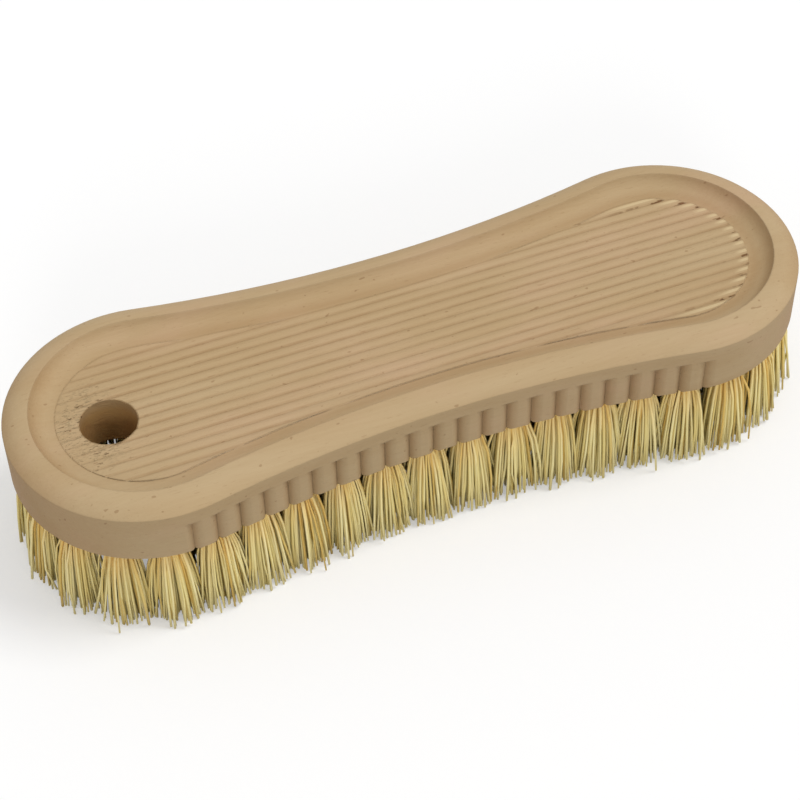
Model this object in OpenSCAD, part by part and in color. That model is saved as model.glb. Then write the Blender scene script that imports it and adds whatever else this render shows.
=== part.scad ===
// Scrubbing brush with a waisted wooden block, upright grip flutes and tufts of plant fibre.
// It stands on its fibre tips at Z = 0, centred on the origin, with the hanging hole towards -X.

/* [Block] */
// Length of the wooden block
block_length = 220; // [180:1:270]
// Width of the block across its round ends
block_width = 73; // [66:0.5:90]
// Width of the block at the narrow grip in the middle
waist_width = 59; // [50:0.5:62]
// Height of the block from its underside to the top of the rim
block_thickness = 19; // [18:0.5:26]
// Rounding of the lower outside edge
lower_edge_radius = 1.5; // [0.5:0.1:3]

/* [Rim and recess] */
// Width of the smooth rim round the recess
rim_width = 7; // [5:0.5:9]
// Height that the domed rim loses from its inner edge to the crease above the side
rim_fall = 3.3; // [1.5:0.1:5]
// Depth of the recess from the top of the rim to the bottom of its grooves
recess_depth = 4; // [2.5:0.1:5]
// Width of the hollow slope between the rim and the ribbed floor
slope_width = 6; // [4:0.5:8]

/* [Ribs] */
// Number of ribs that run along the recess, odd so that one lies on the centre line
rib_count = 15; // [9:2:17]
// Distance from one rib to the next
rib_pitch = 3.125; // [2.5:0.125:3.5]
// Height of a rib above the grooves beside it
rib_height = 0.5; // [0.2:0.1:0.8]
// Width of the plain strip between the foot of the slope and the ribs
rib_margin = 0.4; // [0.2:0.1:1]
// Distance from the end with the hanging hole to where the ribs have grown to full height
rib_fade_length = 38; // [30:1:60]

/* [Side flutes] */
// Number of upright flutes along each long side, with rounded lands between them
flute_count = 22; // [10:1:24]
// Distance from one flute to the next, measured along the side
flute_pitch = 6.8; // [5:0.1:8]
// Depth of the sharp bottom of a flute
flute_depth = 1.9; // [0.8:0.1:2.2]
// Width of the level crest of the land between two flutes
land_flat = 2; // [1:0.1:3]
// How far the middle of the fluted band lies from the middle of the block, towards +X
flute_shift = -1.8; // [-6:0.1:6]
// Height of the plain band between the crease and the flat tops of the flutes
flute_band = 4.3; // [2:0.1:6]

/* [Hanging hole] */
// Bore of the hanging hole
hanging_hole_diameter = 15; // [8:0.5:18]
// Distance from the end of the block to the middle of the hanging hole
hanging_hole_setback = 26.8; // [22:0.1:32]
// Least wood between the hanging hole and a tuft hole
hanging_hole_wall = 2.5; // [1.5:0.5:5]

/* [Tufts] */
// Length of fibre that shows below the block
trim_length = 27; // [18:0.5:40]
// Least distance from one tuft to the next along a row
tuft_pitch = 12.1; // [11.8:0.1:15]
// Bore of the blind hole that holds a tuft
tuft_hole_diameter = 6; // [4:0.5:6.5]
// Depth of that blind hole
tuft_hole_depth = 10; // [7:0.5:10.5]
// Distance from the outline of the block to the middles of the outermost tufts
tuft_edge_inset = 6.5; // [6.5:0.5:9]
// Width of a tuft at its cut tips
tuft_tip_width = 9.6; // [7:0.1:10]
// Angle by which the outermost tufts splay
outer_splay = 6; // [0:0.5:8]
// Angle by which the tufts of the middle row splay
middle_splay = 2.5; // [0:0.5:4]
// Gap between a tuft and the wall of its hole
tuft_clearance = 0.25; // [0.1:0.05:0.4]
// Number of equal bands along the block in which the tufts are grouped
row_count = 18; // [12:1:22]

/* [Staples] */
// Thickness of the wire staple that holds a tuft
wire_diameter = 0.8; // [0.5:0.1:1]
// Width of a staple between the middles of its legs
staple_width = 4.4; // [3:0.1:4.8]
// Height of the fold of fibre between the staple and the end of the hole
fold_height = 2; // [1.2:0.1:3]
// Length of leg that is driven into the wood beyond the hole
leg_bite = 3; // [2:0.1:3.5]
// Inside radius of the two bends of a staple
staple_bend = 0.5; // [0.3:0.1:1]
// Gap between a staple and what lies round it
staple_clearance = 0.05; // [0.02:0.01:0.1]

/* [Hidden] */
$fn = 48;
// Facets of the large arcs, and of wire and the prick holes for it
fine = 180;
wire_facets = 24;
// How far a cutter stands out of the face that it cuts, and how far solids that fuse overlap
overshoot = 1;
overlap = 2;

// A curve of the outline or of a row of tufts is a waisted ring: round ends of radius end_r about
// (+-end_x, 0), joined by arcs that meet them without a corner and come to waist_y in the middle
end_radius = block_width / 2;
end_x = block_length / 2 - end_radius;
function waist_radius(end_r, waist_y) =
    (end_x * end_x + waist_y * waist_y - end_r * end_r) / (2 * (end_r - waist_y));
function blend_angle(end_r, waist_y) = 90 + atan(end_x / (waist_y + waist_radius(end_r, waist_y)));
function end_arc(end_r, waist_y) = end_r * blend_angle(end_r, waist_y) * PI / 180;
function waist_arc(end_r, waist_y) =
    waist_radius(end_r, waist_y) * (blend_angle(end_r, waist_y) - 90) * PI / 180;
function quarter_length(end_r, waist_y) = end_arc(end_r, waist_y) + waist_arc(end_r, waist_y);

// [x, y, direction] on the quarter of a ring in front of +X and +Y, at length s from its +X tip
function quarter_point(s, end_r, waist_y) =
    let (
        on_end = s <= end_arc(end_r, waist_y),
        turn = on_end ? s / end_r * 180 / PI : 0,
        curve = waist_radius(end_r, waist_y),
        swing = (quarter_length(end_r, waist_y) - s) / curve * 180 / PI
    )
    on_end
        ? [end_x + end_r * cos(turn), end_r * sin(turn), turn]
        : [curve * sin(swing), waist_y + curve * (1 - cos(swing)), 90 + swing];

// [x, y, direction] on the whole ring, at length s from its +X tip
function ring_point(s, end_r, waist_y) =
    let (
        quarter = quarter_length(end_r, waist_y),
        back = s > 2 * quarter,
        along = back ? 4 * quarter - s : s,
        far = along > quarter,
        p = quarter_point(far ? 2 * quarter - along : along, end_r, waist_y),
        q = far ? [-p.x, p.y, 180 - p.z] : p
    )
    back ? [q.x, -q.y, -q.z] : q;

// The outline of the block: the radius and centre of its side arcs, and where they meet the ends
waist_half = waist_width / 2;
side_curve = waist_radius(end_radius, waist_half);
side_centre = waist_half + side_curve;
blend = blend_angle(end_radius, waist_half);

// Heights above the surface that the brush stands on
underside = trim_length;
rim_top = underside + block_thickness;
crease = rim_top - rim_fall;
groove_floor = rim_top - recess_depth;
flute_top = crease - flute_band;
hole_end = underside + tuft_hole_depth;

// Arcs of the block's section, each through its two ends and level where it meets the flat
function arc_radius(width, height) = (width * width + height * height) / (2 * height);
rim_radius = arc_radius(rim_width, rim_fall);
slope_radius = arc_radius(slope_width, recess_depth);
rib_radius = arc_radius(rib_pitch / 2, rib_height);
slope_foot = rim_width + slope_width;

// A land's round face runs through the edges of its crest and the bottoms of its two flutes
land_centre = (flute_pitch ^ 2 - land_flat ^ 2 + 4 * flute_depth ^ 2) / (8 * flute_depth);
land_radius = norm([land_centre, land_flat / 2]);
shell_width = slope_foot + 3 * overlap;

hanging_hole_x = hanging_hole_setback - block_length / 2;
hanging_hole_radius = hanging_hole_diameter / 2;
tuft_hole_radius = tuft_hole_diameter / 2;
tuft_root_radius = tuft_hole_radius - tuft_clearance;
clear_of_hanging_hole = hanging_hole_radius + hanging_hole_wall + tuft_hole_radius;

// Tufts follow the outline in three rows: along the edge, halfway in, and on the centre line.
// Each is [x, y, direction of splay, angle of splay]
outer_end = end_radius - tuft_edge_inset;
outer_waist = waist_half - tuft_edge_inset;
outer_length = 4 * quarter_length(outer_end, outer_waist);
outer_count = 4 * floor(outer_length / 4 / tuft_pitch);
outer_tufts = [
    for (i = [0:outer_count - 1])
        let (p = ring_point((i + 0.5) * outer_length / outer_count, outer_end, outer_waist))
        [p.x, p.y, p.z, outer_splay]
];

middle_end = outer_end / 2;
middle_waist = outer_waist / 2;
middle_length = 4 * quarter_length(middle_end, middle_waist);
middle_count = 4 * floor(middle_length / 4 / tuft_pitch);
function beside_hanging_hole(p) = norm([p.x - hanging_hole_x, p.y]) < clear_of_hanging_hole;
middle_tufts = [
    for (i = [0:middle_count - 1])
        let (p = ring_point(i * middle_length / middle_count, middle_end, middle_waist))
        if (!beside_hanging_hole(p)) [p.x, p.y, p.z, middle_splay]
];

centre_length = end_x - hanging_hole_x - clear_of_hanging_hole;
centre_gaps = round(centre_length / tuft_pitch);
centre_tufts = [for (i = [0:centre_gaps]) [end_x - i * centre_length / centre_gaps, 0, 0, 0]];

tufts = concat(outer_tufts, middle_tufts, centre_tufts);

function row_of(tuft) = floor((tuft.x / block_length + 0.5) * row_count);
function row_name(piece, row) = str(piece, "_row_", row < 9 ? "0" : "", row + 1);
rows = [0:row_count - 1];

// Heights of a staple's crown and of the tips of its legs, with the length of their points
staple_crown = hole_end - fold_height - wire_diameter / 2;
leg_tip = hole_end + leg_bite;
leg_point = wire_diameter;
leg_tip_radius = wire_diameter / 8;

// Half section of the block, drawn from its outline (x = 0) inwards and from its underside up
module shell_section() {
    difference() {
        union() {
            square([shell_width, groove_floor - underside]);
            square([slope_foot, block_thickness - rim_radius]);
            intersection() {
                translate([rim_width, block_thickness - rim_radius])
                    circle(r = rim_radius, $fn = fine);
                square([rim_width, block_thickness]);
            }
            translate([rim_width, 0])
                square([slope_width, block_thickness]);
        }
        translate([slope_foot, groove_floor - underside + slope_radius])
            circle(r = slope_radius, $fn = fine);
        difference() {
            translate([-overshoot, -overshoot])
                square(lower_edge_radius + overshoot);
            translate([lower_edge_radius, lower_edge_radius])
                circle(r = lower_edge_radius, $fn = fine / 2);
        }
    }
}

// Flat sector round one end, between the lines from its middle to the centres of the side arcs,
// on which the end meets the sides
module end_sector() {
    polygon([
        [end_x, 0],
        [0, -side_centre],
        [block_length, -side_centre],
        [block_length, side_centre],
        [0, side_centre]
    ]);
}

// Shell of one round end
module end_shell() {
    intersection() {
        translate([end_x, 0, underside])
            rotate_extrude($fn = fine)
                translate([end_radius, 0])
                    mirror([1, 0])
                        shell_section();
        linear_extrude(rim_top + overshoot)
            end_sector();
    }
}

// Shell of one long side, swept about a centre outside the block and trimmed to meet the ends
module side_shell() {
    swing = blend - 90 + overlap;
    difference() {
        translate([0, side_centre, underside])
            rotate([0, 0, -90 - swing])
                rotate_extrude(angle = 2 * swing, $fn = 4 * fine)
                    translate([side_curve, 0])
                        shell_section();
        for (side = [0, 1])
            mirror([side, 0, 0])
                linear_extrude(rim_top + overshoot)
                    end_sector();
    }
}

// Flat waisted outline, drawn inset from the outline of the block
module waisted_outline(inset) {
    for (side = [0, 1])
        mirror([side, 0])
            intersection() {
                translate([end_x, 0])
                    circle(r = end_radius - inset, $fn = fine);
                end_sector();
            }
    difference() {
        square([2 * end_x, block_width - 2 * inset], center = true);
        for (side = [0, 1])
            mirror([side, 0])
                end_sector();
        for (side = [-1, 1])
            translate([0, side * side_centre])
                circle(r = side_curve + inset, $fn = 4 * fine);
    }
}

// Flat middle of the block inside the shells, under the ribs
module core() {
    translate([0, 0, underside])
        linear_extrude(groove_floor - underside)
            waisted_outline(shell_width - overlap);
}

// Section across the ribs, drawn with their crests at y = 0 and rooted below the grooves
module rib_section() {
    width = rib_count * rib_pitch;
    intersection() {
        for (i = [0:rib_count - 1])
            translate([(i - (rib_count - 1) / 2) * rib_pitch, -rib_radius])
                circle(r = rib_radius, $fn = fine / 2);
        translate([-width / 2, -2 * rib_height])
            square([width, 3 * rib_height]);
    }
}

// Side view of the room for the ribs: level, but falling to the grooves at the hanging hole
module rib_room() {
    fade_end = rim_width - block_length / 2;
    full_height = rib_height + overshoot / 100;
    polygon([
        [fade_end, -2 * rib_height],
        [fade_end, 0],
        [rib_fade_length - block_length / 2, full_height],
        [block_length / 2, full_height],
        [block_length / 2, -2 * rib_height]
    ]);
}

// Ribs along the recess, which end just short of the slope
module ribs() {
    intersection() {
        translate([-block_length / 2, 0, groove_floor + rib_height])
            rotate([90, 0, 90])
                linear_extrude(block_length)
                    rib_section();
        translate([0, block_width / 2, groove_floor])
            rotate([90, 0, 0])
                linear_extrude(block_width)
                    rib_room();
        translate([0, 0, underside])
            linear_extrude(block_thickness)
                waisted_outline(slope_foot + rib_margin);
    }
}

// Moves a plan to the long side towards +Y, at length offset from its middle, facing outwards
module on_side(offset) {
    p = ring_point(quarter_length(end_radius, waist_half) - offset, end_radius, waist_half);
    translate([p.x, p.y])
        rotate(p.z)
            children();
}

// Cutter for one upright flute, between the round faces of the lands on its two sides
module flute_cutter(offset) {
    width = flute_pitch - land_flat / 2;
    translate([0, 0, underside - overshoot])
        linear_extrude(flute_top - underside + overshoot)
            difference() {
                on_side(offset)
                    translate([-land_centre, -width / 2])
                        square([land_centre + overshoot, width]);
                for (side = [-1, 1])
                    on_side(offset + side * flute_pitch / 2)
                        translate([-land_centre, 0])
                            circle(r = land_radius);
            }
}

// Blind hole for a tuft, with the two prick holes of its staple's legs
module tuft_hole(tuft) {
    translate([tuft.x, tuft.y, underside - overshoot])
        cylinder(r = tuft_hole_radius, h = tuft_hole_depth + overshoot);
    for (side = [-1, 1])
        translate([tuft.x + side * staple_width / 2, tuft.y, hole_end - overshoot])
            cylinder(
                r = wire_diameter / 2 + staple_clearance,
                h = overshoot + leg_bite + staple_clearance,
                $fn = wire_facets
            );
}

module wood_block() {
    color([0.80, 0.68, 0.52])
        difference() {
            union() {
                for (side = [0, 1]) {
                    mirror([side, 0, 0])
                        end_shell();
                    mirror([0, side, 0])
                        side_shell();
                }
                core();
                ribs();
            }
            for (i = [0:flute_count - 1], side = [0, 1])
                mirror([0, side, 0])
                    flute_cutter((i - (flute_count - 1) / 2) * flute_pitch + flute_shift);
            translate([hanging_hole_x, 0, underside - overshoot])
                cylinder(d = hanging_hole_diameter, h = block_thickness + 2 * overshoot);
            for (tuft = tufts)
                tuft_hole(tuft);
        }
}

// One half of a staple, from the middle of its crown along the bend and up the leg to its point
module staple_half() {
    wire = wire_diameter / 2;
    bend = staple_bend + wire;
    crown = staple_width / 2 - bend;
    straight = leg_tip - leg_point - staple_crown - bend;
    rotate([0, 90, 0])
        cylinder(r = wire, h = crown, $fn = wire_facets);
    translate([crown, 0, bend]) {
        rotate([90, 0, 0])
            rotate([0, 0, -90])
                rotate_extrude(angle = 90)
                    translate([bend, 0])
                        circle(r = wire, $fn = wire_facets);
        translate([bend, 0, 0])
            cylinder(r = wire, h = straight, $fn = wire_facets);
        translate([bend, 0, straight])
            cylinder(r1 = wire, r2 = leg_tip_radius, h = leg_point, $fn = wire_facets);
    }
}

// Staple whose crown lies in the fold of its tuft, with both legs driven into the wood
module staple(tuft) {
    translate([tuft.x, tuft.y, staple_crown])
        for (side = [0, 1])
            mirror([side, 0, 0])
                staple_half();
}

// Room that a tuft's root leaves for its staple, drawn with the crown's middle at the origin
module staple_room() {
    room = wire_diameter / 2 + staple_clearance;
    bend = staple_bend + wire_diameter / 2;
    rotate([0, 90, 0])
        cylinder(r = room, h = 2 * tuft_hole_diameter, center = true, $fn = wire_facets);
    for (side = [0, 1])
        mirror([side, 0, 0])
            translate([staple_width / 2 - bend, -room, 0])
                cube([tuft_hole_diameter, 2 * room, fold_height + wire_diameter]);
}

// Tuft of fibres: the folded root in its hole, and the free length that spreads to the cut tips
module tuft(tuft) {
    neck = tuft_root_radius + tuft_clearance / 2;
    spread = (tuft_tip_width / 2 - neck) / trim_length;
    reach = 1.2 * trim_length;
    root_bite = tuft_clearance + tuft_hole_radius * sin(tuft[3]);
    difference() {
        translate([tuft.x, tuft.y, underside]) {
            translate([0, 0, -root_bite])
                cylinder(r = tuft_root_radius, h = tuft_hole_depth + root_bite);
            rotate([0, 0, tuft.z])
                rotate([0, 180 - tuft[3], 0])
                    cylinder(r1 = neck, r2 = neck + spread * reach, h = reach);
        }
        translate([tuft.x, tuft.y, staple_crown])
            staple_room();
        translate([tuft.x, tuft.y, -reach / 2])
            cube([4 * tuft_tip_width, 4 * tuft_tip_width, reach], center = true);
    }
}

module tuft_row(row) {
    color([0.85, 0.80, 0.58])
        for (tuft = tufts)
            if (row_of(tuft) == row)
                tuft(tuft);
}

module staple_row(row) {
    color([0.62, 0.62, 0.60])
        for (tuft = tufts)
            if (row_of(tuft) == row)
                staple(tuft);
}

wood_block();
for (row = rows) {
    tuft_row(row);
    staple_row(row);
}
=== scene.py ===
"""Scrubbing brush: a waisted wooden block with fluted sides, filled with tufts of plant fibre."""
import math

import bpy
import numpy as np
from mathutils import Matrix, Vector


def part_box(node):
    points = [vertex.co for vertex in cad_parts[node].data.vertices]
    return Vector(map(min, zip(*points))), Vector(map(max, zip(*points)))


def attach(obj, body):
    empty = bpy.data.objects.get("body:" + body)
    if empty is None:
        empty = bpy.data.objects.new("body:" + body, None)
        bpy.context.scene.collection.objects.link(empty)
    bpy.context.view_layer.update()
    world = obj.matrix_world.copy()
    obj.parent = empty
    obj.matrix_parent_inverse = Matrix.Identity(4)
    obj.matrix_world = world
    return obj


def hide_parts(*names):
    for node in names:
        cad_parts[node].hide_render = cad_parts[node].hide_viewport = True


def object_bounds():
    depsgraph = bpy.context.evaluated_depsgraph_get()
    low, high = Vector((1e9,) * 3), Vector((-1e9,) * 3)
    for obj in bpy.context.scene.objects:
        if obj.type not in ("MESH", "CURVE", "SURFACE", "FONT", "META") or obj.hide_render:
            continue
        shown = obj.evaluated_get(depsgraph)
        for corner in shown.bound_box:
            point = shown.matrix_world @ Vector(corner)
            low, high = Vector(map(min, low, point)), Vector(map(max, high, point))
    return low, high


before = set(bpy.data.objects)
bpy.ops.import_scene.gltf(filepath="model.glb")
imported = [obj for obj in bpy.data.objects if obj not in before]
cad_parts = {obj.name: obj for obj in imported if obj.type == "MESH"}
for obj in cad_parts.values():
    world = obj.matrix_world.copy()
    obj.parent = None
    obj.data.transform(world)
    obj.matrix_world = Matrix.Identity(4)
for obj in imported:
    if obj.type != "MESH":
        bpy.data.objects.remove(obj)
cad_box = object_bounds()

# The wooden block. One piece of pale beech: its outline and the domed rim are shaped on a spindle
# moulder, the recess is milled with a ribbed cutter along the grain, and the wood is left bare.
# The cutter tears the grain a little where its ribs end, and round the drilled hanging hole.
MM = 0.001
block_low, block_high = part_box("wood_block")
rim_top = block_high.z
end_radius = (block_high.y - block_low.y) / 2
end_x = block_high.x - end_radius
hanging_hole_x = block_low.x + 26.8 * MM
hanging_hole_radius = 7.5 * MM
slope_foot = 13 * MM
floor_level = rim_top - 4.2 * MM
rib_pitch = 3.125 * MM
waist_half = 29.5 * MM
side_radius = (end_x**2 + waist_half**2 - end_radius**2) / (2 * (end_radius - waist_half))
side_centre = waist_half + side_radius


def linear(red, green, blue):
    """Colour given as it shows on a screen, 0 to 255, turned into the light that it stands for."""
    share = np.array([red, green, blue]) / 255
    light = np.where(share <= 0.04045, share / 12.92, ((share + 0.055) / 1.055) ** 2.4)
    return (*light, 1.0)


class Finish:
    """A procedural material: each method adds one node and gives back its first output."""

    def __init__(self, name):
        self.material = bpy.data.materials.new(name)
        self.material.use_nodes = True
        self.tree = self.material.node_tree
        self.surface = self.tree.nodes["Principled BSDF"]

    def put(self, kind, inputs=(), output=0, **settings):
        """Adds a node of that kind with its settings, and fills its inputs by name or number."""
        node = self.tree.nodes.new("ShaderNode" + kind)
        for name, value in settings.items():
            setattr(node, name, value)
        self.fill(node, dict(inputs))
        return node.outputs[output]

    def fill(self, node, inputs):
        """Sets each input to a number or colour, or links it to another node's output."""
        for name, value in inputs.items():
            if isinstance(value, bpy.types.NodeSocket):
                self.tree.links.new(value, node.inputs[name])
            else:
                node.inputs[name].default_value = value

    def place(self, stretch=(1, 1, 1), shift=(0, 0, 0)):
        """Position on the piece, with each axis shifted in metres and then multiplied."""
        here = self.put("TexCoord", output=3)
        there = self.put("VectorMath", {0: here, 1: shift}, operation="SUBTRACT")
        return self.put("VectorMath", {0: there, 1: stretch}, operation="MULTIPLY")

    def math(self, operation, first, second=0.0):
        """Arithmetic on one or two values."""
        return self.put("Math", {0: first, 1: second}, operation=operation)

    def step(self, value, low, high):
        """Smooth step: 0 up to low, 1 from high, and an S curve between them."""
        inputs = {"Value": value, "From Min": low, "From Max": high}
        return self.put("MapRange", inputs, interpolation_type="SMOOTHSTEP")

    def grain(self, stretch, detail=3.0, roughness=0.55, shift=(0, 0, 0)):
        """Cloudy noise from 0 to 1, whose stretch is the cells to a metre along X, Y and Z."""
        inputs = {"Vector": self.place(stretch, shift), "Scale": 1.0, "Detail": detail}
        return self.put("TexNoise", {**inputs, "Roughness": roughness}, output=0)

    def tone(self, share, first, second):
        """Colour between two colours."""
        return self.put("Mix", {0: share, 6: first, 7: second}, output=2, data_type="RGBA")

    def tint(self, share, colour, over):
        """Colour multiplied over another by a share."""
        inputs = {0: share, 6: colour, 7: over}
        return self.put("Mix", inputs, output=2, data_type="RGBA", blend_type="MULTIPLY")


wood = Finish("bare_beech")
x, y, z = (wood.put("SeparateXYZ", {0: wood.place()}, output=axis) for axis in range(3))


def distance(middle_x, middle_y, from_x, from_y):
    """Distance on the face of the block between two points given by their X and Y."""
    one = wood.put("CombineXYZ", {0: middle_x, 1: middle_y})
    two = wood.put("CombineXYZ", {0: from_x, 1: from_y})
    return wood.put("VectorMath", {0: one, 1: two}, output=1, operation="DISTANCE")


# How far a point lies inside the outline: round the ends it is the end's radius less the distance
# from the middle of the round, and between them the distance from the side arc's centre less its
# radius. The line from one centre to the other parts the two.
far_x, far_y = wood.math("ABSOLUTE", x), wood.math("ABSOLUTE", y)
inside_end = wood.math("SUBTRACT", end_radius, distance(far_x, far_y, end_x, 0.0))
inside_side = wood.math("SUBTRACT", distance(far_x, far_y, 0.0, side_centre), side_radius)
part = wood.math("ADD", wood.math("DIVIDE", far_x, end_x), wood.math("DIVIDE", far_y, side_centre))
on_end = wood.math("GREATER_THAN", part, 1.0)
inside = wood.put("Mix", {0: on_end, 2: inside_side, 3: inside_end})

# Long soft bands of the growth rings, fine fibre lines, and the short dark rays and pinker clouds
# of beech
bands = wood.grain((7, 60, 80), detail=2)
lines = wood.grain((38, 1300, 1300), detail=4, roughness=0.6)
rays = wood.step(wood.grain((300, 3400, 3400), detail=1), 0.67, 0.76)
clouds = wood.grain((22, 50, 50), detail=3, shift=(0.3, 0.1, 0))
wood_colour = wood.tone(wood.step(bands, 0.3, 0.7), linear(196, 172, 133), linear(190, 163, 122))
wood_colour = wood.tone(wood.step(clouds, 0.4, 0.75), wood_colour, linear(199, 170, 134))
wood_colour = wood.tint(wood.math("MULTIPLY", lines, 0.22), wood_colour, linear(190, 150, 105))
wood_colour = wood.tint(wood.math("MULTIPLY", rays, 0.22), wood_colour, linear(175, 125, 85))

# End grain, which is darker and pinker, on the walls that face along the block, and a little
# painted shade on every wall, which darkens the sides against the lit top
facing = wood.put("NewGeometry", output=1)
facing_x, _, facing_z = (wood.put("SeparateXYZ", {0: facing}, output=axis) for axis in range(3))
end_grain = wood.step(wood.math("ABSOLUTE", facing_x), 0.25, 0.95)
wood_colour = wood.tint(wood.math("MULTIPLY", end_grain, 0.5), wood_colour, linear(232, 216, 200))
walls = wood.step(wood.math("ABSOLUTE", facing_z), 0.8, 0.1)
wood_colour = wood.tint(walls, wood_colour, linear(240, 240, 241))

# The ribbed floor, with painted shade in patches in its grooves: a groove is where the cosine of
# the way across the ribs is low
on_floor = wood.step(inside, slope_foot, slope_foot + 0.8 * MM)
on_floor = wood.math("MULTIPLY", on_floor, wood.step(z, floor_level - 0.4 * MM, floor_level))
groove = wood.math("COSINE", wood.math("MULTIPLY", y, 2 * math.pi / rib_pitch))
in_groove = wood.step(groove, -0.2, -0.95)
shade_patches = wood.grain((60, 500, 60), detail=4, roughness=0.7)
painted_groove_shade = wood.math("MULTIPLY", in_groove, wood.step(shade_patches, 0.25, 0.7))
rib_start = wood.step(x, hanging_hole_x - 14 * MM, hanging_hole_x + 4 * MM)
ribbed = wood.math("MULTIPLY", on_floor, rib_start)
painted_groove_shade = wood.math("MULTIPLY", painted_groove_shade, ribbed)
wood_colour = wood.tint(wood.math("MULTIPLY", painted_groove_shade, 0.3), wood_colour, linear(190, 150, 100))

# Torn grain left of the hanging hole, with dark tears and raised pale splinters
from_hole = distance(x, y, hanging_hole_x, 0.0)
round_hole = wood.step(from_hole, 19 * MM, 8 * MM)
before_hole = wood.step(x, hanging_hole_x + 5 * MM, hanging_hole_x - 5 * MM)
torn_place = wood.math("MULTIPLY", round_hole, wood.math("ADD", 0.15, before_hole))
chatter = wood.grain((330, 1150, 900), detail=4, roughness=0.7)
torn_dark = wood.math("MULTIPLY", torn_place, wood.step(chatter, 0.60, 0.68))
torn_light = wood.math("MULTIPLY", torn_place, wood.step(chatter, 0.46, 0.34))

# The ends of the ribs at the far end from the hole, with a painted highlight on the tips and torn
# nicks between them
fingers = wood.step(inside, slope_foot + 4.2 * MM, slope_foot + 1.6 * MM)
fingers = wood.math("MULTIPLY", fingers, wood.step(x, end_x - 12 * MM, end_x + 2 * MM))
nicks = wood.step(wood.grain((260, 620, 500), shift=(0.02, 0.01, 0)), 0.50, 0.60)
nicks = wood.math("MULTIPLY", wood.math("MULTIPLY", fingers, wood.step(groove, -0.5, -1.0)), nicks)
torn = wood.math("MULTIPLY", wood.math("MAXIMUM", torn_dark, nicks), on_floor)
raised = wood.math("MULTIPLY", torn_light, on_floor)
wood_colour = wood.tint(wood.math("MULTIPLY", torn, 0.8), wood_colour, linear(160, 115, 62))
wood_colour = wood.tone(wood.math("MULTIPLY", raised, 0.55), wood_colour, linear(222, 196, 150))
painted_tip_highlight = wood.math("MULTIPLY", fingers, wood.step(groove, 0.2, 0.9))
painted_tip_highlight = wood.math("MULTIPLY", wood.math("MULTIPLY", painted_tip_highlight, on_floor), 0.6)
wood_colour = wood.tone(painted_tip_highlight, wood_colour, linear(222, 200, 156))

# Painted shade in a soft band along the foot of the slope, fading out towards the hanging hole
above_floor = wood.step(z, floor_level - 0.8 * MM, floor_level)
from_foot = wood.math("ABSOLUTE", wood.math("SUBTRACT", inside, slope_foot - 1.2 * MM))
painted_foot_shade = wood.math("MULTIPLY", wood.step(from_foot, 2.6 * MM, 0.0), above_floor)
painted_foot_shade = wood.math("MULTIPLY", painted_foot_shade, wood.step(x, -95 * MM, -40 * MM))
wood_colour = wood.tint(wood.math("MULTIPLY", painted_foot_shade, 0.22), wood_colour, linear(200, 165, 118))

# Painted light on the low wall where the ribs run out at the slope, paling the shadow in that
# narrow corner
from_cut = wood.math("ABSOLUTE", wood.math("SUBTRACT", inside, slope_foot))
painted_seam_light = wood.math("MULTIPLY", wood.step(from_cut, 0.7 * MM, 0.3 * MM), above_floor)
painted_seam_light = wood.math("MULTIPLY", painted_seam_light, wood.step(wood.math("ABSOLUTE", facing_z), 0.97, 0.7))
wood_colour = wood.tone(wood.math("MULTIPLY", painted_seam_light, 0.6), wood_colour, linear(236, 212, 174))

# Small dark spots all over
spots = wood.step(wood.grain((520, 800, 800), detail=0, shift=(0.01, 0.03, 0)), 0.80, 0.84)
wood_colour = wood.tint(wood.math("MULTIPLY", spots, 0.35), wood_colour, linear(165, 120, 75))

# The wall of the hanging hole, scorched a little by the drill, with painted shade that darkens it
# further deeper down
in_hole = wood.step(from_hole, hanging_hole_radius + 0.35 * MM, hanging_hole_radius + 0.1 * MM)
drilled = wood.grain((300, 300, 2400), detail=2)
painted_depth_shade = wood.step(z, floor_level, rim_top - 8 * MM)
scorch_and_painted_shade = wood.math("MULTIPLY", in_hole, wood.math("ADD", 0.35, wood.math("MULTIPLY", painted_depth_shade, 0.65)))
wood_colour = wood.tint(scorch_and_painted_shade, wood_colour, linear(255, 238, 200))

# The relief: the fuzz and lines of the grain, raised splinters, tears, and the marks of the drill
fuzz = wood.grain((420, 2400, 2400), detail=4, roughness=0.65)
drill_marks = wood.math("MULTIPLY", drilled, in_hole)
height = wood.math("ADD", wood.math("MULTIPLY", fuzz, 0.10), wood.math("MULTIPLY", lines, 0.14))
height = wood.math("ADD", height, wood.math("MULTIPLY", raised, 0.30))
height = wood.math("SUBTRACT", height, wood.math("MULTIPLY", torn, 0.45))
height = wood.math("SUBTRACT", height, wood.math("MULTIPLY", drill_marks, 0.2))
soft_edges = wood.put("Bevel", {"Radius": 0.8 * MM}, samples=6)
bumps = {"Strength": 0.8, "Distance": 1.0 * MM, "Height": height, "Normal": soft_edges}
wood_relief = wood.put("Bump", bumps)
wood.fill(wood.surface, {"Base Color": wood_colour, "Normal": wood_relief, "Roughness": 0.62})
wood.surface.inputs["Specular IOR Level"].default_value = 0.25
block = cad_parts["wood_block"]
block.data.materials.clear()
block.data.materials.append(wood.material)

# The staples. Bits of drawn steel wire, bent to a U and driven through the fold of each tuft into
# the wood, where they are sealed in.
steel = Finish("drawn_wire")
scratches = steel.grain((3000, 3000, 300), detail=2)
wire_tone = steel.tone(scratches, linear(150, 150, 148), linear(190, 190, 186))
steel.fill(steel.surface, {"Base Color": wire_tone, "Metallic": 1.0, "Roughness": 0.35})
for name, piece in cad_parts.items():
    if name.startswith("staple_row"):
        piece.data.materials.clear()
        piece.data.materials.append(steel.material)

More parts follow.
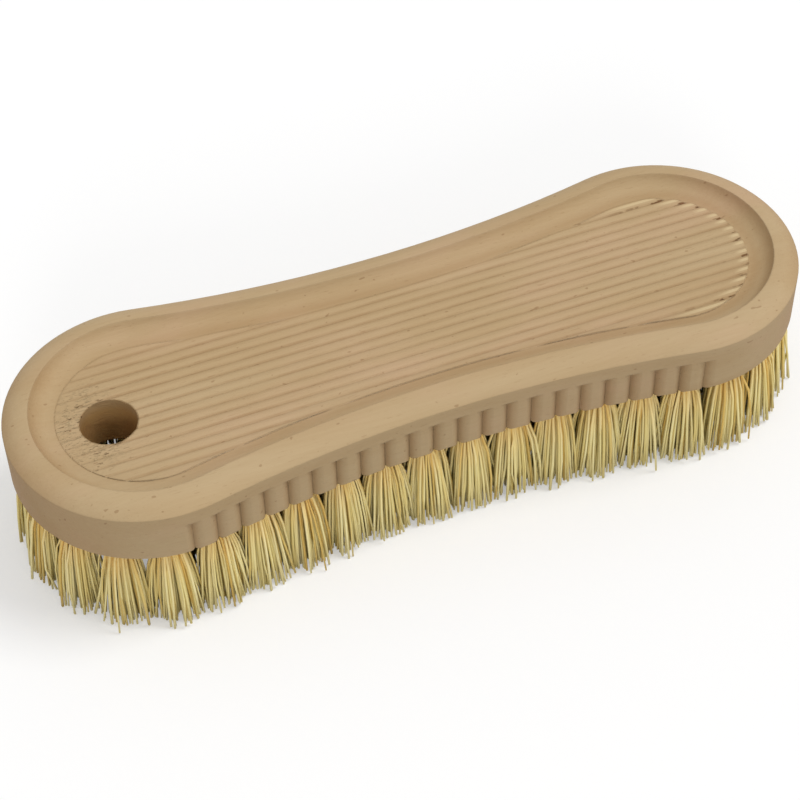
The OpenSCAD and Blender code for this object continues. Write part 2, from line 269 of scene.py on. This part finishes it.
# The tufts. Stiff plant fibres about 0.7 mm thick, 64 to a tuft, laid straight, folded in half over
# a staple and pushed into a drilled hole, so that 128 ends spread from each. The finished brush is
# trimmed level, which leaves ragged tips.
fibres_per_tuft = 64
fibre_thickness = 0.74 * MM
fibre_sides = 4
mouth_radius = 2.55 * MM
fold_depth = 2.6 * MM
staple_gap = 0.75 * MM
row_widening = 0.42
tip_jitter = 0.7 * MM
stray_share = 0.05
stray_reach = 1.3 * MM
bow_size = 0.65 * MM
shortest_cut = 3.2 * MM
past_box = 1.2 * MM
stations = np.array([0.0, 0.08, 0.3, 0.64, 1.0])
random = np.random.default_rng(11)


def solids_of(node):
    """The corners of each separate solid of a CAD node. Corners at one place count as one, and the
    lowest label spreads along the triangles until no label changes."""
    mesh = node.data
    corners = np.empty(len(mesh.vertices) * 3)
    mesh.vertices.foreach_get("co", corners)
    places, same = np.unique(corners.reshape(-1, 3).round(7), axis=0, return_inverse=True)
    triangles = np.empty(len(mesh.loops), int)
    mesh.loops.foreach_get("vertex_index", triangles)
    triangles = same.reshape(-1)[triangles].reshape(-1, 3)
    label = np.arange(len(places))
    while True:
        lowest = np.repeat(label[triangles].min(axis=1), 3)
        spread = label.copy()
        np.minimum.at(spread, triangles.reshape(-1), lowest)
        if (spread == label).all():
            return [places[label == each] for each in np.unique(label)]
        label = spread


def middle_of(points):
    """Middle of the box round some points, seen from above."""
    return (points[:, :2].min(axis=0) + points[:, :2].max(axis=0)) / 2


def half_disc(count, radius):
    """Points spread evenly over half a disc: the root of an even step gives the distance from the
    middle, and multiples of the golden ratio give the turn."""
    i = np.arange(count)
    away = radius * np.sqrt((i + 0.5) / count)
    turn = math.pi * ((i * 0.6180339887) % 1)
    return np.stack([away * np.cos(turn), away * np.sin(turn)], axis=1)


def fibre_ends(root, tip, side, tip_radius, mouth, hole_end):
    """Path of one end of every fibre in a tuft, from the staple to the cut tip. Seen from above it
    goes from its place in the hole's mouth to its place among the tips by a power of the way down,
    under 1, so that it spreads soonest near the wood, with a bow that is a sine of the way down."""
    count = fibres_per_tuft
    at_mouth = side * half_disc(count, mouth_radius)
    jitter = random.normal(0, tip_jitter, (count, 2))
    spread = random.uniform(0.86, 1.20, (count, 1))
    at_tip = at_mouth * (tip_radius / mouth_radius) * spread
    lean = tip - root
    lean /= max(np.hypot(*lean), 0.1 * MM)
    row_way = np.array([-lean[1], lean[0]])
    at_tip += row_widening * (at_tip @ row_way)[:, None] * row_way + jitter
    stray = random.random((count, 1)) < stray_share
    at_tip += stray * random.normal(0, stray_reach, (count, 2))
    length = mouth - np.abs(random.normal(0.3, 0.8, count)) * MM
    length = np.clip(length, mouth - shortest_cut, mouth)
    bow = random.normal(0, bow_size, (count, 1)) * (1 + 1.5 * stray)
    bow_turn = random.uniform(0, 2 * math.pi, count)
    bow_way = np.stack([np.cos(bow_turn), np.sin(bow_turn)], axis=1)
    power = random.uniform(0.3, 0.72, (count, 1))
    path = np.empty((count, len(stations) + 1, 3))
    path[:, 0, 0] = root[0] + at_mouth[:, 0] * 0.45
    path[:, 0, 1] = root[1] + np.sign(at_mouth[:, 1]) * (staple_gap + np.abs(at_mouth[:, 1]) * 0.6)
    path[:, 0, 2] = hole_end - fold_depth
    for k, u in enumerate(stations):
        way = u**power
        flat = root + at_mouth + (tip - root + at_tip - at_mouth) * way
        path[:, k + 1, :2] = flat + bow * bow_way * math.sin(math.pi * min(u, 0.9))
        path[:, k + 1, 2] = mouth - length * u
    return path


def fibre_tubes(path, thickness):
    """Square tubes round many paths at once: each ring is its path's point plus the half thickness
    times the cosine and sine of a quarter turn, along two directions square to the path."""
    along = np.gradient(path, axis=1)
    along /= np.linalg.norm(along, axis=2, keepdims=True)
    turn = random.uniform(0, 2 * math.pi, len(path))
    across = np.stack([np.cos(turn), np.sin(turn), 0 * turn], axis=1)[:, None, :]
    first = np.cross(along, across)
    first /= np.linalg.norm(first, axis=2, keepdims=True)
    second = np.cross(along, first)
    quarter = np.arange(fibre_sides) * 2 * math.pi / fibre_sides
    ring = first[:, :, None] * np.cos(quarter)[:, None]
    ring = ring + second[:, :, None] * np.sin(quarter)[:, None]
    return path[:, :, None] + ring * thickness[:, :, None, None] / 2


def fibre_piece(name, rings, tint):
    """One mesh of all the tubes: a four-cornered face between each pair of corners of two rings
    that follow one another, and one over each end."""
    fibres, count, sides, _ = rings.shape
    index = np.arange(fibres * count * sides).reshape(fibres, count, sides)
    turned = np.roll(index, -1, axis=2)
    walls = np.stack([index[:, :-1], turned[:, :-1], turned[:, 1:], index[:, 1:]], axis=-1)
    caps = np.concatenate([index[:, :1, ::-1], index[:, -1:]], axis=1)
    faces = np.concatenate([walls.reshape(-1, 4), caps.reshape(-1, 4)])
    mesh = bpy.data.meshes.new(name)
    mesh.vertices.add(index.size)
    mesh.vertices.foreach_set("co", rings.reshape(-1))
    mesh.loops.add(faces.size)
    mesh.loops.foreach_set("vertex_index", faces.reshape(-1))
    mesh.polygons.add(len(faces))
    mesh.polygons.foreach_set("loop_start", np.arange(len(faces)) * 4)
    mesh.polygons.foreach_set("use_smooth", np.ones(len(faces), bool))
    mesh.update(calc_edges=True)
    shade = mesh.attributes.new("fibre_tint", "FLOAT", "POINT")
    shade.data.foreach_set("value", np.repeat(tint, count * sides))
    piece = bpy.data.objects.new(name, mesh)
    bpy.context.scene.collection.objects.link(piece)
    return piece


# The finish of a fibre: pale straw, a few darker ones, streaked along its length, and warmer near
# the wood, where the light has passed through other fibres
fibre = Finish("plant_fibre")
tint = fibre.put("Attribute", output=2, attribute_name="fibre_tint")
level = fibre.put("SeparateXYZ", {0: fibre.place()}, output=2)
streaks = fibre.grain((1500, 1500, 120), detail=2)
pale = fibre.tone(tint, linear(242, 226, 150), linear(253, 242, 184))
fibre_colour = fibre.tone(fibre.step(tint, 0.0, 0.25), linear(230, 198, 112), pale)
streaked = fibre.math("MULTIPLY", streaks, 0.22)
fibre_colour = fibre.tint(streaked, fibre_colour, linear(205, 175, 110))
near_wood = fibre.step(level, block_low.z - 14 * MM, block_low.z)
warmed = fibre.math("MULTIPLY", near_wood, 0.45)
fibre_colour = fibre.tone(warmed, fibre_colour, linear(255, 206, 118))
fibre_bump = fibre.put("Bump", {"Strength": 0.35, "Distance": 0.1 * MM, "Height": streaks})
fibre.fill(fibre.surface, {"Base Color": fibre_colour, "Roughness": 0.5, "Normal": fibre_bump})
fibre.surface.inputs["Specular IOR Level"].default_value = 0.3

# Each row of plain CAD tufts is replaced by one piece of fibres. A tuft's root and tips are read
# from its solid, and the few strays are kept near the outline of the CAD
low, high = np.array(cad_box)[:, :2]
tuft_rows = sorted(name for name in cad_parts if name.startswith("tuft_row"))
for name in tuft_rows:
    rows = []
    for solid in solids_of(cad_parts[name]):
        hole_end = solid[:, 2].max()
        root = middle_of(solid[solid[:, 2] > hole_end - 0.1 * MM])
        tips = solid[solid[:, 2] < 0.1 * MM]
        tip = middle_of(tips)
        tip_radius = (tips[:, 0].max() - tips[:, 0].min()) / 2
        ends = [
            fibre_ends(root, tip, side, tip_radius, block_low.z, hole_end) for side in (1, -1)
        ]
        top = (ends[0][:, :1] + ends[1][:, :1]) / 2
        top[:, 0, 2] = hole_end - 0.5 * MM - random.uniform(0, 1.2, len(top)) * MM
        rows.append(np.concatenate([ends[0][:, ::-1], top, ends[1]], axis=1))
    paths = np.concatenate(rows)
    paths[:, :, :2] = np.clip(paths[:, :, :2], low - past_box, high + past_box)
    thickness = fibre_thickness * random.uniform(0.75, 1.2, (len(paths), 1))
    taper = np.concatenate([[0.86, 0.92], np.ones(paths.shape[1] - 4), [0.92, 0.86]])
    rings = fibre_tubes(paths, thickness * taper)
    piece = fibre_piece(name.replace("tuft_row", "fibres"), rings, random.random(len(paths)))
    piece.data.materials.append(fibre.material)
    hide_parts(name)
    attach(piece, "root")

# The floor and the light. A plain pale table that shows white behind the brush and keeps its soft
# shadow, a large soft lamp high up on the right, a weak one low in front that reaches between the
# tufts, and a pale room.
table = Finish("pale_table")
seen = table.put("LightPath", output=0)
shine = table.put("Emission", {"Color": (1, 1, 1, 1), "Strength": 0.36})
plain = table.put("BsdfDiffuse", {"Color": linear(222, 220, 216)})
dim = table.put("BsdfDiffuse", {"Color": (0.65, 0.65, 0.65, 1)})
shown = table.put("AddShader", {0: shine, 1: dim})
output = table.tree.nodes["Material Output"]
table.fill(output, {"Surface": table.put("MixShader", {0: seen, 1: plain, 2: shown})})
floor_mesh = bpy.data.meshes.new("floor")
reach = 3.0
corners = [(-reach, -reach, 0), (reach, -reach, 0), (reach, reach, 0), (-reach, reach, 0)]
floor_mesh.from_pydata(corners, [], [(0, 1, 2, 3)])
floor_mesh.materials.append(table.material)
floor = bpy.data.objects.new("floor", floor_mesh)
bpy.context.scene.collection.objects.link(floor)

world = bpy.data.worlds.new("room")
bpy.context.scene.world = world
world.use_nodes = True
room = world.node_tree
for_camera = room.nodes.new("ShaderNodeLightPath")
strength = room.nodes.new("ShaderNodeMapRange")
strength.inputs["To Min"].default_value = 0.6
strength.inputs["To Max"].default_value = 1.0
room.links.new(for_camera.outputs["Is Camera Ray"], strength.inputs["Value"])
room.links.new(strength.outputs["Result"], room.nodes["Background"].inputs["Strength"])
room.nodes["Background"].inputs["Color"].default_value = (1, 1, 1, 1)


def soft_lamp(name, strength, turn, height, spread):
    """A distant lamp that shines from that turn about the brush and that height, in degrees."""
    lamp = bpy.data.lights.new(name, "SUN")
    lamp.energy = strength
    lamp.angle = math.radians(spread)
    away = Vector((
        math.sin(math.radians(turn)) * math.cos(math.radians(height)),
        -math.cos(math.radians(turn)) * math.cos(math.radians(height)),
        math.sin(math.radians(height)),
    ))
    holder = bpy.data.objects.new(name, lamp)
    holder.rotation_euler = away.to_track_quat("Z", "Y").to_euler()
    bpy.context.scene.collection.objects.link(holder)


soft_lamp("key_lamp", strength=1.25, turn=78, height=60, spread=25)
soft_lamp("low_lamp", strength=0.4, turn=-16, height=26, spread=15)

# The camera, turned and placed as it was for the photograph. Its place is counted from the middle
# of the brush at the height of the rim, and its lens in pixels of the picture.
azimuth, elevation, roll = (math.radians(angle) for angle in (-20.763, 48.268, -1.185))
view_distance = 559.23 * MM
aim_right, aim_up = -3.13 * MM, -20.48 * MM
lens_pixels, image_pixels = 2131.455, 800
back = Vector((
    math.sin(azimuth) * math.cos(elevation),
    -math.cos(azimuth) * math.cos(elevation),
    math.sin(elevation),
))
level_right = Vector((math.cos(azimuth), math.sin(azimuth), 0))
level_up = back.cross(level_right)
right = math.cos(roll) * level_right + math.sin(roll) * level_up
up = -math.sin(roll) * level_right + math.cos(roll) * level_up
eye = Vector((0, 0, rim_top)) + back * view_distance + right * aim_right + up * aim_up
lens = bpy.data.cameras.new("camera")
lens.sensor_width = 36
lens.lens = lens_pixels / image_pixels * lens.sensor_width
camera = bpy.data.objects.new("camera", lens)
camera.matrix_world = Matrix.Translation(eye) @ Matrix((right, up, back)).transposed().to_4x4()
bpy.context.scene.collection.objects.link(camera)
bpy.context.scene.camera = camera
bpy.context.scene.view_settings.view_transform = "Standard"
